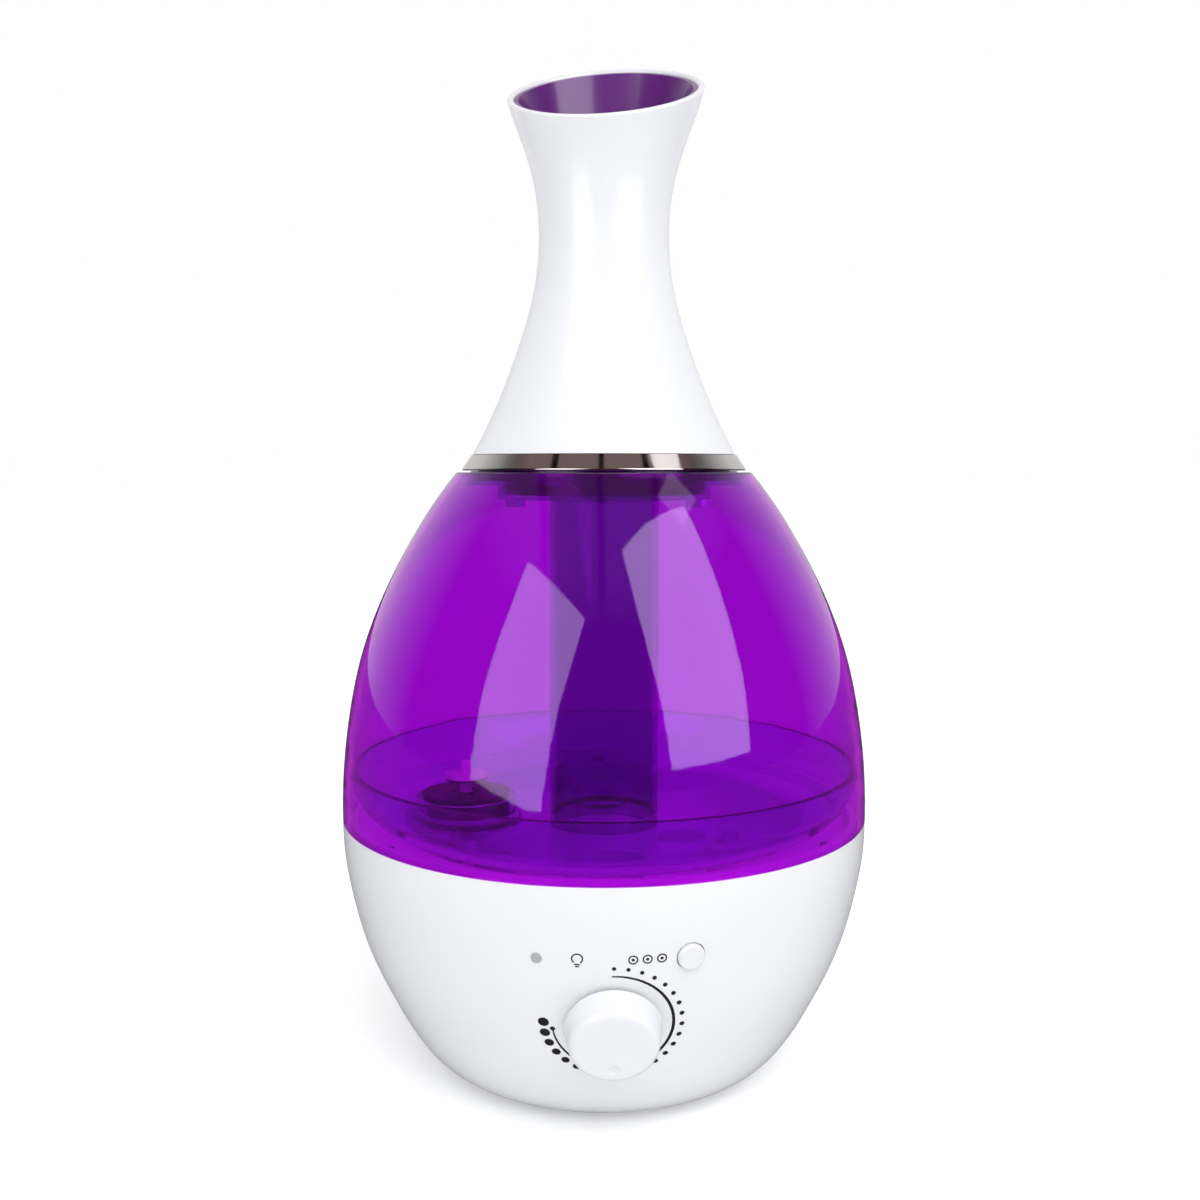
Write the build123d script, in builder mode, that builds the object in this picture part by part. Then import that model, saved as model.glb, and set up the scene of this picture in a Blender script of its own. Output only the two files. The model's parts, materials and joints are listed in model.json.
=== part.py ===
from build123d import *
from math import asin, cos, hypot, radians, sin
import os

# Cool mist humidifier: a round base with the works, a lift-off water tank and a turning mist nozzle.
# Millimetres. The origin is the centre of the plane that the rubber feet stand on, +Z is up and the
# control panel faces -Y.

# ---------------------------------------------------------------------------------------------
# Driving dimensions
# ---------------------------------------------------------------------------------------------
WALL = 2.4                  # moulded wall of the base and the tank
RUB = 0.3                   # free gap between pieces that move past each other
FIT = 0.05                  # free gap between pieces that stay together

RIM = 92.1                  # top edge of the base bowl
TANK_TOP = 215.4            # top edge of the tank
RING_BOTTOM = 216.0         # bright trim ring
RING_TOP = 221.5
NOZZLE_BOTTOM = 221.7
MOUTH_HEIGHT = 348.0        # height of the slanted mouth on the axis
MOUTH_TILT = 26.8           # degrees from level
MOUTH_TURN = 10.0           # degrees from the front towards -X, where the lip is lowest

# Outer outlines, as (radius, height)
BOWL_OUTLINE = [(53.5, 1.6), (61.1, 4.2), (71.1, 14.8), (79.0, 29.0), (87.0, 47.0),
                (92.0, 65.0), (94.5, 79.5), (95.0, RIM)]
TANK_OUTLINE = [(95.1, RIM + 0.1), (94.6, 108.6), (92.0, 130.3), (87.1, 152.0), (78.7, 173.7),
                (69.3, 191.8), (60.1, 206.3), (53.0, TANK_TOP)]
NOZZLE_OUTLINE = [(47.2, NOZZLE_BOTTOM), (38.7, 238.9), (31.6, 256.9), (26.0, 275.0), (23.3, 293.0),
                  (23.9, 311.0), (28.3, 329.0), (33.4, 343.0), (37.0, 356.0), (39.6, 367.0),
                  (41.2, 375.0)]
NOZZLE_WALL = 2.2
LINER_WALL = 1.4

TUBE_RADIUS = 20.0          # mist tube down the middle of the tank
TUBE_BOTTOM = 84.0
TUBE_TOP = 206.9
SOCKET_RADIUS = 37.0        # socket in the tank's top for the nozzle seat
SOCKET_WALL = 1.5
SHOULDER = 211.7            # level shoulder around the socket
SHOULDER_RADIUS = 48.4
FLOOR_BOTTOM = 89.0         # lowest face of the tank floor
FLOOR_WALL = 2.2
CORNER_RADIUS = 22.0        # rounded corner of the tank floor

CAP_X = -51.0               # filler cap and its valve
CAP_RADIUS = 15.9
CAP_BOTTOM = 85.4
CAP_TOP = 98.2
VALVE_TRAVEL = 4.6
STEM_RADIUS = 2.05

BASIN_FLOOR = 65.4          # top face of the water basin's floor
BASIN_RADIUS = 74.0
BASIN_FLANGE = 88.0
REGISTER_RADIUS = 91.9      # low ring that centres the tank on the base
REGISTER_TOP = 93.6
WELL_RADIUS = 15.0
WELL_FLOOR = 52.4
CHIMNEY_Y = 47.0
CHIMNEY_RADIUS = 11.0
CHIMNEY_TOP = 82.0
FLOAT_X = 46.0
FLOAT_Y = -14.0
POST_RADIUS = 3.0
WINDOW_XY = 33.0            # X and Y of the light window

COVER_RADIUS = 50.2
COVER_BOTTOM = 1.6
COVER_TOP = 3.8
COVER_SCREW_RADIUS = 46.5
FOOT_RADIUS = 7.0
FOOT_CIRCLE = 40.0

FAN_Y = 16.0
FAN_SIZE = 50.0
FAN_BOTTOM = 9.0
FAN_DEPTH = 15.0
FAN_BORE = 23.4
SHAFT_RADIUS = 1.5

BOARD_Y = -30.0
BOARD_HEIGHT = 16.0
BOARD_THICKNESS = 1.6

DIAL_HEIGHT = 45.1          # knob axis on the bowl
DIAL_RADIUS = 86.3
DIAL_TILT = 20.0
KNOB_RADIUS = 15.2
KNOB_DEPTH = 9.0
POT_SHAFT_RADIUS = 3.0

BUTTON_X = 23.6             # light button, and indicator window on the other side
BUTTON_HEIGHT = 68.8
BUTTON_WALL_RADIUS = 92.75
BUTTON_TILT = 11.5
BUTTON_RADIUS = 4.3
BUTTON_TRAVEL = 1.0
LENS_RADIUS = 1.7

INLET_HEIGHT = 23.0         # power inlet at the back
INLET_FACE = 76.6


# ---------------------------------------------------------------------------------------------
# Helpers
# ---------------------------------------------------------------------------------------------
def inset(outline, distance):
    """Points of an outline, each moved inwards at right angles to it."""
    moved = []
    for index, (radius, height) in enumerate(outline):
        before = outline[max(index - 1, 0)]
        after = outline[min(index + 1, len(outline) - 1)]
        along_radius = after[0] - before[0]
        along_height = after[1] - before[1]
        length = hypot(along_radius, along_height)
        level_end = index in (0, len(outline) - 1)
        if level_end:
            # the ends stay at their own height
            moved.append((radius - distance * length / along_height, height))
        else:
            moved.append((radius - distance * along_height / length,
                          height + distance * along_radius / length))
    return moved


def outline_section(*corners):
    """Closed section with straight sides, from (radius, height) corners."""
    with BuildSketch(Plane.XZ) as drawing:
        with BuildLine():
            Polyline(*corners, close=True)
        make_face()
    return drawing.sketch


def wall_section(outline, thickness):
    """Closed section of a thin wall whose outer side is a smooth curve."""
    with BuildSketch(Plane.XZ) as drawing:
        with BuildLine():
            outer = Spline(*outline)
            inner = Spline(*inset(outline, thickness))
            Line(outer @ 0, inner @ 0)
            Line(outer @ 1, inner @ 1)
        make_face()
    return drawing.sketch


def washer(inner, outer, bottom, top):
    """Section of a plain ring."""
    return outline_section((inner, bottom), (outer, bottom), (outer, top), (inner, top))


def disc(radius, bottom, top):
    """Section of a plain disc on the axis."""
    return outline_section((0, bottom), (radius, bottom), (radius, top), (0, top))


def wall_plane(across, wall_radius, height, tilt):
    """Plane on the bowl's front wall, with its z axis pointing out of the wall."""
    turn = asin(across / wall_radius)
    lean = radians(tilt)
    return Plane(origin=(across, -wall_radius * cos(turn), height),
                 x_dir=(cos(turn), sin(turn), 0),
                 z_dir=(sin(turn) * cos(lean), -cos(turn) * cos(lean), -sin(lean)))


def post(plane, bottom, top, radius, *places):
    """Round posts along the plane's z axis, from one level to another."""
    with BuildSketch(plane.offset(bottom)) as drawing:
        with Locations(*places):
            Circle(radius)
    return extrude(drawing.sketch, amount=top - bottom, mode=Mode.PRIVATE)


def save(piece, name):
    piece.part.label = name
    export_step(piece.part, f"parts/{name}.step")


os.makedirs("parts", exist_ok=True)

AXIS = (0, 0)
FLOOR = Plane.XY
dial = wall_plane(0, DIAL_RADIUS, DIAL_HEIGHT, DIAL_TILT)
button_spot = wall_plane(BUTTON_X, BUTTON_WALL_RADIUS, BUTTON_HEIGHT, BUTTON_TILT)
lens_spot = wall_plane(-BUTTON_X, BUTTON_WALL_RADIUS, BUTTON_HEIGHT, BUTTON_TILT)
mouth_turn = radians(-90 - MOUTH_TURN)
mouth_lean = radians(MOUTH_TILT)
mouth = Plane(origin=(0, 0, MOUTH_HEIGHT),
              z_dir=(sin(mouth_lean) * cos(mouth_turn), sin(mouth_lean) * sin(mouth_turn),
                     cos(mouth_lean)))
cap_plane = Plane(origin=(CAP_X, 0, 0))


# ---------------------------------------------------------------------------------------------
# Nozzle
# ---------------------------------------------------------------------------------------------
with BuildPart() as nozzle_shell:
    revolve(wall_section(NOZZLE_OUTLINE, NOZZLE_WALL), axis=Axis.Z)
    split(bisect_by=mouth, keep=Keep.BOTTOM)
    lip = nozzle_shell.faces().filter_by(GeomType.PLANE).sort_by(Axis.Z)[-1]
    fillet(lip.edges(), radius=0.8)
save(nozzle_shell, "nozzle_shell")

# The liner follows the inside of the shell and ends in a plain skirt that turns in the seat.
liner_outer = inset(NOZZLE_OUTLINE, NOZZLE_WALL + 0.15)
liner_inner = inset(NOZZLE_OUTLINE, NOZZLE_WALL + 0.15 + LINER_WALL)
SKIRT_RADIUS = 43.6
with BuildPart() as nozzle_liner:
    with BuildSketch(Plane.XZ) as liner_drawing:
        with BuildLine():
            outer_curve = Spline(*liner_outer)
            inner_curve = Spline(*liner_inner[1:])
            Line(outer_curve @ 1, inner_curve @ 1)
            Polyline(outer_curve @ 0, (SKIRT_RADIUS, NOZZLE_BOTTOM), (SKIRT_RADIUS, 216.5),
                     (SKIRT_RADIUS - LINER_WALL, 216.5), (SKIRT_RADIUS - LINER_WALL, 224.0),
                     inner_curve @ 0)
        make_face()
    revolve(axis=Axis.Z)
    split(bisect_by=mouth.offset(-0.9), keep=Keep.BOTTOM)
save(nozzle_liner, "nozzle_liner")

# Drip catcher: a shallow cone held in the middle of the mist path by three arms.
with BuildPart() as splash_guard:
    revolve(outline_section((0, 229.0), (13.0, 224.2), (13.0, 222.7), (0, 227.5)), axis=Axis.Z)
    with BuildSketch(FLOOR.offset(222.7)) as guard_arms:
        with PolarLocations(26.5, 3, start_angle=90):
            Rectangle(29.0, 3.0)
    extrude(amount=1.5)
    revolve(washer(40.2, SKIRT_RADIUS - LINER_WALL - FIT, 221.5, 224.0), axis=Axis.Z)
save(splash_guard, "splash_guard")

# ---------------------------------------------------------------------------------------------
# Nozzle seat: trim ring, plug with three tabs and its seal
# ---------------------------------------------------------------------------------------------
SEAT_WALL_OUTER = 45.4
with BuildPart() as trim_ring:
    revolve(outline_section((SEAT_WALL_OUTER + FIT, RING_BOTTOM), (51.4, RING_BOTTOM),
                            (47.7, RING_TOP), (SEAT_WALL_OUTER + FIT, RING_TOP)), axis=Axis.Z)
    fillet(trim_ring.edges().filter_by(GeomType.CIRCLE).group_by(SortBy.RADIUS)[-1], radius=0.5)
save(trim_ring, "trim_ring")

SPIGOT_RADIUS = 36.3
SPIGOT_BOTTOM = TUBE_TOP + 0.4
GROOVE_RADIUS = 35.2
GROOVE_BOTTOM = 208.5
GROOVE_TOP = 210.1
SEAT_BORE = 31.0
FLANGE_RADIUS = SHOULDER_RADIUS - 0.4
FLANGE_BOTTOM = SHOULDER + RUB
SEAT_FLOOR = 213.8
with BuildPart() as seat_ring:
    revolve(outline_section((SEAT_BORE, SPIGOT_BOTTOM), (SPIGOT_RADIUS, SPIGOT_BOTTOM),
                            (SPIGOT_RADIUS, GROOVE_BOTTOM), (GROOVE_RADIUS, GROOVE_BOTTOM),
                            (GROOVE_RADIUS, GROOVE_TOP), (SPIGOT_RADIUS, GROOVE_TOP),
                            (SPIGOT_RADIUS, FLANGE_BOTTOM), (FLANGE_RADIUS, FLANGE_BOTTOM),
                            (FLANGE_RADIUS, RING_BOTTOM - 0.2), (SEAT_WALL_OUTER, RING_BOTTOM - 0.2),
                            (SEAT_WALL_OUTER, RING_TOP - 0.5), (44.0, RING_TOP - 0.5),
                            (44.0, SEAT_FLOOR), (SEAT_BORE, SEAT_FLOOR)), axis=Axis.Z)
save(seat_ring, "seat_ring")

with BuildPart() as seat_seal:
    revolve(washer(GROOVE_RADIUS + FIT, SPIGOT_RADIUS + 0.4, GROOVE_BOTTOM + 0.1, GROOVE_TOP - 0.1),
            axis=Axis.Z)
    fillet(seat_seal.edges().filter_by(GeomType.CIRCLE).group_by(SortBy.RADIUS)[-1], radius=0.5)
save(seat_seal, "seat_seal")

# ---------------------------------------------------------------------------------------------
# Tank
# ---------------------------------------------------------------------------------------------
with BuildPart() as tank_shell:
    revolve(wall_section(TANK_OUTLINE, WALL), axis=Axis.Z)
    top_edges = tank_shell.faces().filter_by(GeomType.PLANE).sort_by(Axis.Z)[-1].edges()
    fillet(top_edges.sort_by(SortBy.RADIUS)[-1], radius=0.9)
save(tank_shell, "tank_shell")

SHELL_INSIDE = 91.85
CORNER_CENTRE = (SHELL_INSIDE - CORNER_RADIUS, FLOOR_BOTTOM + CORNER_RADIUS)
NECK_HOLE = CAP_RADIUS + RUB
with BuildPart() as tank_floor:
    with BuildSketch(Plane.XZ) as floor_drawing:
        with BuildLine():
            inner_radius = CORNER_RADIUS - FLOOR_WALL
            under = CenterArc(CORNER_CENTRE, CORNER_RADIUS, -90, 90)
            over = CenterArc(CORNER_CENTRE, inner_radius, -90, 90)
            Line(under @ 1, over @ 1)
            Polyline(under @ 0, (TUBE_RADIUS + FIT, FLOOR_BOTTOM),
                     (TUBE_RADIUS + FIT, FLOOR_BOTTOM + FLOOR_WALL), over @ 0)
        make_face()
    revolve(axis=Axis.Z)
    add(post(cap_plane, FLOOR_BOTTOM, 96.6, NECK_HOLE + 2.2, AXIS))
    add(post(cap_plane, FLOOR_BOTTOM - 1, 97.6, NECK_HOLE, AXIS), mode=Mode.SUBTRACT)
save(tank_floor, "tank_floor")

with BuildPart() as mist_tube:
    revolve(washer(TUBE_RADIUS - 2.0, TUBE_RADIUS, TUBE_BOTTOM, TUBE_TOP), axis=Axis.Z)
save(mist_tube, "mist_tube")

# Stepped socket in the tank's top, which the nozzle seat plugs into. It has three lugs underneath.
COLLAR_RADIUS = 49.8
LUG_BOTTOM = 203.0
with BuildPart() as tank_collar:
    socket_outside = SOCKET_RADIUS + SOCKET_WALL
    socket_under = TUBE_TOP - SOCKET_WALL
    revolve(outline_section((COLLAR_RADIUS, TANK_TOP), (COLLAR_RADIUS, SHOULDER - SOCKET_WALL),
                            (socket_outside, SHOULDER - SOCKET_WALL), (socket_outside, socket_under),
                            (TUBE_RADIUS + FIT, socket_under), (TUBE_RADIUS + FIT, TUBE_TOP),
                            (SOCKET_RADIUS, TUBE_TOP), (SOCKET_RADIUS, SHOULDER),
                            (SHOULDER_RADIUS, SHOULDER), (SHOULDER_RADIUS, TANK_TOP)), axis=Axis.Z)
    with BuildSketch(FLOOR.offset(LUG_BOTTOM)) as lugs:
        with PolarLocations(36.2, 3, start_angle=-30):
            Rectangle(4.2, 7.0)
    extrude(amount=socket_under - LUG_BOTTOM)
save(tank_collar, "tank_collar")

# ---------------------------------------------------------------------------------------------
# Filler cap with its spring valve
# ---------------------------------------------------------------------------------------------
with BuildPart() as cap_shell:
    add(post(cap_plane, CAP_BOTTOM, CAP_BOTTOM + 2.2, 20.5, AXIS))
    add(post(cap_plane, CAP_BOTTOM, CAP_TOP, CAP_RADIUS, AXIS))
    add(post(cap_plane, CAP_BOTTOM - 1, CAP_TOP - 2.2, CAP_RADIUS - 2.5, AXIS), mode=Mode.SUBTRACT)
    with BuildSketch(cap_plane.offset(CAP_BOTTOM)) as notches:
        with PolarLocations(21.0, 16):
            Circle(1.4)
    extrude(amount=2.2, mode=Mode.SUBTRACT)
    # two grip bars across the inside, with room for the valve between them
    with BuildSketch(cap_plane.offset(CAP_BOTTOM)) as grip:
        with Locations((-10.0, 0), (10.0, 0)):
            Rectangle(7.4, 2.4)
    extrude(amount=6.0)
    add(post(cap_plane, CAP_TOP - 3, CAP_TOP + 1, STEM_RADIUS + 0.1, AXIS), mode=Mode.SUBTRACT)
    with BuildSketch(cap_plane.offset(CAP_TOP - 3)) as water_holes:
        with PolarLocations(4.2, 6):
            Circle(1.3)
    extrude(amount=4.0, mode=Mode.SUBTRACT)
save(cap_shell, "cap_shell")

with BuildPart() as cap_gasket:
    add(post(cap_plane, CAP_BOTTOM + 2.2, FLOOR_BOTTOM - 0.2, 19.4, AXIS))
    add(post(cap_plane, CAP_BOTTOM + 2, FLOOR_BOTTOM, CAP_RADIUS + FIT, AXIS), mode=Mode.SUBTRACT)
save(cap_gasket, "cap_gasket")

# The stem stands on the pin in the basin, which holds the valve open while the tank is in place.
STEM_BOTTOM = 79.4
STEM_TOP = 110.0
STEM_FLANGE = 88.2
VALVE_DISC = CAP_TOP + VALVE_TRAVEL + 0.8
with BuildPart() as valve_plunger:
    add(post(cap_plane, STEM_BOTTOM, STEM_TOP, STEM_RADIUS, AXIS))
    add(post(cap_plane, STEM_FLANGE - 1.6, STEM_FLANGE, 4.4, AXIS))
    add(post(cap_plane, VALVE_DISC, VALVE_DISC + 1.5, 7.6, AXIS))
    ends = valve_plunger.edges().group_by(Axis.Z)
    fillet(ends[0] + ends[-1], radius=0.8)
save(valve_plunger, "valve_plunger")

with BuildPart() as valve_seal:
    add(post(cap_plane, VALVE_DISC - 0.7, VALVE_DISC, 7.6, AXIS))
    add(post(cap_plane, VALVE_DISC - 1, VALVE_DISC + 1, 5.7, AXIS), mode=Mode.SUBTRACT)
save(valve_seal, "valve_seal")

SPRING_WIRE = 0.35
SPRING_TURNS = 5
spring_length = CAP_TOP - 2.2 - STEM_FLANGE - 2 * SPRING_WIRE - 0.1
with BuildPart() as valve_spring:
    with BuildLine() as coil:
        Helix(pitch=spring_length / SPRING_TURNS, height=spring_length, radius=3.3,
              center=(CAP_X, 0, STEM_FLANGE + SPRING_WIRE + FIT))
    with BuildSketch(Plane(origin=coil.line @ 0, z_dir=coil.line % 0)):
        Circle(SPRING_WIRE)
    sweep()
save(valve_spring, "valve_spring")

# ---------------------------------------------------------------------------------------------
# Base bowl
# ---------------------------------------------------------------------------------------------
bowl_inside = inset(BOWL_OUTLINE, WALL)
LEDGE_TOP = 84.6            # ledge that carries the basin
LEDGE_RADIUS = 44.3         # ledge that the bottom cover is screwed to
BASIN_SCREW_CIRCLE = 85.5
with BuildPart() as base_bowl:
    with BuildSketch(Plane.XZ) as bowl_drawing:
        with BuildLine():
            bowl_outer = Spline(*BOWL_OUTLINE)
            bowl_inner = Spline(*bowl_inside[1:])
            Line(bowl_outer @ 1, bowl_inner @ 1)
            # the foot of the wall turns in to a ledge above the bottom cover
            Polyline(bowl_outer @ 0, (COVER_RADIUS + 0.2, COVER_BOTTOM),
                     (COVER_RADIUS + 0.2, COVER_TOP + 0.1),
                     (LEDGE_RADIUS, COVER_TOP + 0.1), (LEDGE_RADIUS, COVER_TOP + 2.0), bowl_inner @ 0)
        make_face()
    revolve(axis=Axis.Z)
    revolve(washer(89.6, 92.6, LEDGE_TOP - 2.0, LEDGE_TOP), axis=Axis.Z)
    # screw bosses for the bottom cover and for the basin
    with BuildSketch(FLOOR.offset(COVER_TOP + 0.1)) as cover_bosses:
        with PolarLocations(COVER_SCREW_RADIUS, 3, start_angle=-90):
            Circle(3.6)
    extrude(amount=7.0)
    with BuildSketch(FLOOR.offset(66.0)) as basin_bosses:
        with PolarLocations(BASIN_SCREW_CIRCLE, 3, start_angle=90):
            Circle(3.6)
    extrude(amount=LEDGE_TOP - 66.0)
    with BuildSketch(FLOOR.offset(66.0)) as basin_boss_webs:
        with PolarLocations(BASIN_SCREW_CIRCLE + 3.5, 3, start_angle=90):
            Rectangle(6.0, 3.0)
    extrude(amount=LEDGE_TOP - 66.0)
    # flat pad for the power inlet, sunk into the wall above and standing out of it below
    with BuildSketch(Plane.XZ.offset(-INLET_FACE)) as inlet_pad:
        with Locations((0, INLET_HEIGHT)):
            RectangleRounded(30.0, 17.0, 4.0)
    extrude(amount=13.0)
    extrude(inlet_pad.sketch, amount=-12.0, mode=Mode.SUBTRACT)
    with BuildSketch(Plane.XZ.offset(-INLET_FACE)) as inlet_opening:
        with Locations((0, INLET_HEIGHT)):
            RectangleRounded(22.2, 12.2, 3.1)
    extrude(amount=15.5, mode=Mode.SUBTRACT)
    # screw holes
    with BuildSketch(FLOOR.offset(COVER_TOP)) as cover_holes:
        with PolarLocations(COVER_SCREW_RADIUS, 3, start_angle=-90):
            Circle(1.35)
    extrude(amount=6.0, mode=Mode.SUBTRACT)
    with BuildSketch(FLOOR.offset(LEDGE_TOP)) as basin_holes:
        with PolarLocations(BASIN_SCREW_CIRCLE, 3, start_angle=90):
            Circle(1.35)
    extrude(amount=-12.0, mode=Mode.SUBTRACT)
    # holes for the knob's shaft, the light button and the indicator window
    add(post(dial, -8, 4, 3.8, AXIS), mode=Mode.SUBTRACT)
    add(post(button_spot, -8, 4, BUTTON_RADIUS + RUB, AXIS), mode=Mode.SUBTRACT)
    add(post(lens_spot, -8, 4, LENS_RADIUS + FIT, AXIS), mode=Mode.SUBTRACT)
save(base_bowl, "base_bowl")

# ---------------------------------------------------------------------------------------------
# Bottom cover, feet, filter and screws
# ---------------------------------------------------------------------------------------------
FAN_SCREW_SPACING = 40.0
BOARD_POSTS = ((-25, BOARD_Y - 3), (25, BOARD_Y - 3), (-25, BOARD_Y + 14), (25, BOARD_Y + 14))
FOOT_RECESS = 0.8
GRILLE_RADIUS = 17.5
SLOT_PITCH = 4.6
with BuildPart() as bottom_cover:
    revolve(disc(COVER_RADIUS, COVER_BOTTOM, COVER_TOP), axis=Axis.Z)
    with BuildSketch(FLOOR.offset(COVER_TOP)) as fan_posts:
        with Locations((0, FAN_Y)):
            with GridLocations(FAN_SCREW_SPACING, FAN_SCREW_SPACING, 2, 2):
                Circle(2.8)
    extrude(amount=FAN_BOTTOM - COVER_TOP)
    with BuildSketch(FLOOR.offset(COVER_TOP)) as board_posts:
        with Locations(*BOARD_POSTS):
            Circle(2.4)
    extrude(amount=BOARD_HEIGHT - COVER_TOP)
    with BuildSketch(FLOOR.offset(COVER_BOTTOM)) as foot_recesses:
        with PolarLocations(FOOT_CIRCLE, 4, start_angle=45):
            Circle(FOOT_RADIUS + FIT)
    extrude(amount=FOOT_RECESS, mode=Mode.SUBTRACT)
    # intake grille: slots shortened to a round outline
    with BuildSketch(FLOOR) as grille:
        for row in range(-3, 4):
            reach = (GRILLE_RADIUS ** 2 - (row * SLOT_PITCH) ** 2) ** 0.5
            with Locations((0, FAN_Y + row * SLOT_PITCH)):
                SlotOverall(2 * reach, 2.2)
    extrude(amount=COVER_TOP + 1, mode=Mode.SUBTRACT)
    with BuildSketch(FLOOR) as cover_screw_holes:
        with PolarLocations(COVER_SCREW_RADIUS, 3, start_angle=-90):
            Circle(1.5)
    extrude(amount=COVER_TOP + 1, mode=Mode.SUBTRACT)
    with BuildSketch(FLOOR.offset(COVER_BOTTOM)) as cover_screw_heads:
        with PolarLocations(COVER_SCREW_RADIUS, 3, start_angle=-90):
            Circle(2.9)
    extrude(amount=1.2, mode=Mode.SUBTRACT)
save(bottom_cover, "bottom_cover")

with BuildPart() as rubber_feet:
    with BuildSketch(FLOOR) as feet:
        with PolarLocations(FOOT_CIRCLE, 4, start_angle=45):
            Circle(FOOT_RADIUS)
    extrude(amount=COVER_BOTTOM + FOOT_RECESS)
    fillet(rubber_feet.edges().group_by(Axis.Z)[0], radius=0.5)
save(rubber_feet, "rubber_feet")

with BuildPart() as bottom_screws:
    with BuildSketch(FLOOR.offset(COVER_BOTTOM + 0.15)) as bottom_heads:
        with PolarLocations(COVER_SCREW_RADIUS, 3, start_angle=-90):
            Circle(2.6)
    extrude(amount=1.05)
    with BuildSketch(FLOOR.offset(COVER_BOTTOM + 1)) as bottom_shanks:
        with PolarLocations(COVER_SCREW_RADIUS, 3, start_angle=-90):
            Circle(1.3)
    extrude(amount=7.0)
    with BuildSketch(FLOOR.offset(COVER_BOTTOM)) as bottom_drives:
        with PolarLocations(COVER_SCREW_RADIUS, 3, start_angle=-90):
            Rectangle(2.6, 0.6)
            Rectangle(0.6, 2.6)
    extrude(amount=0.7, mode=Mode.SUBTRACT)
save(bottom_screws, "bottom_screws")

with BuildPart() as intake_filter:
    with BuildSketch(FLOOR.offset(COVER_TOP)) as filter_outline:
        with Locations((0, FAN_Y)):
            RectangleRounded(34.0, 34.0, 4.0)
    extrude(amount=2.4)
save(intake_filter, "intake_filter")

# ---------------------------------------------------------------------------------------------
# Fan and air duct
# ---------------------------------------------------------------------------------------------
FAN_TOP = FAN_BOTTOM + FAN_DEPTH
HUB_RADIUS = 9.0
BEARING_RADIUS = 3.2
fan_plane = Plane(origin=(0, FAN_Y, 0))
with BuildPart() as fan_frame:
    with BuildSketch(fan_plane.offset(FAN_BOTTOM)) as frame_outline:
        RectangleRounded(FAN_SIZE, FAN_SIZE, 3.0)
        Circle(FAN_BORE, mode=Mode.SUBTRACT)
        with GridLocations(FAN_SCREW_SPACING, FAN_SCREW_SPACING, 2, 2):
            Circle(1.6, mode=Mode.SUBTRACT)
    extrude(amount=FAN_DEPTH)
    with BuildSketch(fan_plane.offset(FAN_BOTTOM)) as struts:
        Circle(HUB_RADIUS)
        with PolarLocations(16.5, 4, start_angle=45):
            Rectangle(15.5, 2.4)
    extrude(amount=1.5)
    # bearing tube with a running fit on the impeller's shaft
    add(post(fan_plane, FAN_BOTTOM, FAN_BOTTOM + 9, BEARING_RADIUS, AXIS))
    add(post(fan_plane, FAN_BOTTOM + 1, FAN_BOTTOM + 10, SHAFT_RADIUS + FIT, AXIS),
        mode=Mode.SUBTRACT)
save(fan_frame, "fan_frame")

BLADES = 7
with BuildPart() as fan_impeller:
    add(post(fan_plane, FAN_BOTTOM + 2, FAN_TOP - 1.5, HUB_RADIUS, AXIS))
    add(post(fan_plane, FAN_BOTTOM + 1, FAN_TOP - 3.5, HUB_RADIUS - 1.5, AXIS), mode=Mode.SUBTRACT)
    with BuildSketch(fan_plane.offset(FAN_BOTTOM + 3)) as blade_roots:
        with PolarLocations(15.6, BLADES):
            Rectangle(13.8, 1.4)
    extrude(amount=8.5)
    with BuildSketch(fan_plane.offset(FAN_BOTTOM + 4)) as blade_curls:
        with PolarLocations(15.6, BLADES, start_angle=5):
            Rectangle(13.4, 2.6)
    extrude(amount=3.0)
save(fan_impeller, "fan_impeller")

with BuildPart() as fan_shaft:
    add(post(fan_plane, FAN_BOTTOM + 1.2, FAN_TOP - 3.5, SHAFT_RADIUS, AXIS))
save(fan_shaft, "fan_shaft")

with BuildPart() as fan_coil:
    add(post(fan_plane, FAN_BOTTOM + 2.2, FAN_BOTTOM + 8.6, 6.6, AXIS))
    add(post(fan_plane, FAN_BOTTOM, FAN_BOTTOM + 10, BEARING_RADIUS + FIT, AXIS),
        mode=Mode.SUBTRACT)
save(fan_coil, "fan_coil")

with BuildPart() as fan_screws:
    with BuildSketch(fan_plane.offset(FAN_TOP)) as fan_heads:
        with GridLocations(FAN_SCREW_SPACING, FAN_SCREW_SPACING, 2, 2):
            Circle(2.6)
    extrude(amount=1.6)
    with BuildSketch(fan_plane.offset(FAN_BOTTOM)) as fan_shanks:
        with GridLocations(FAN_SCREW_SPACING, FAN_SCREW_SPACING, 2, 2):
            Circle(1.5)
    extrude(amount=FAN_DEPTH)
save(fan_screws, "fan_screws")

# Funnel from the fan up to the chimney in the basin
DUCT_BOTTOM = FAN_TOP + 0.2
DUCT_TOP = 62.9
with BuildPart() as air_duct:
    for mode, extra in ((Mode.ADD, 1.6), (Mode.SUBTRACT, 0)):
        with BuildSketch(FLOOR.offset(DUCT_BOTTOM)) as duct_inlet:
            with Locations((0, FAN_Y)):
                Circle(21.5 + extra)
        with BuildSketch(FLOOR.offset(DUCT_TOP)) as duct_outlet:
            with Locations((0, CHIMNEY_Y)):
                Circle(CHIMNEY_RADIUS + extra)
        loft(mode=mode)
save(air_duct, "air_duct")

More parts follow.
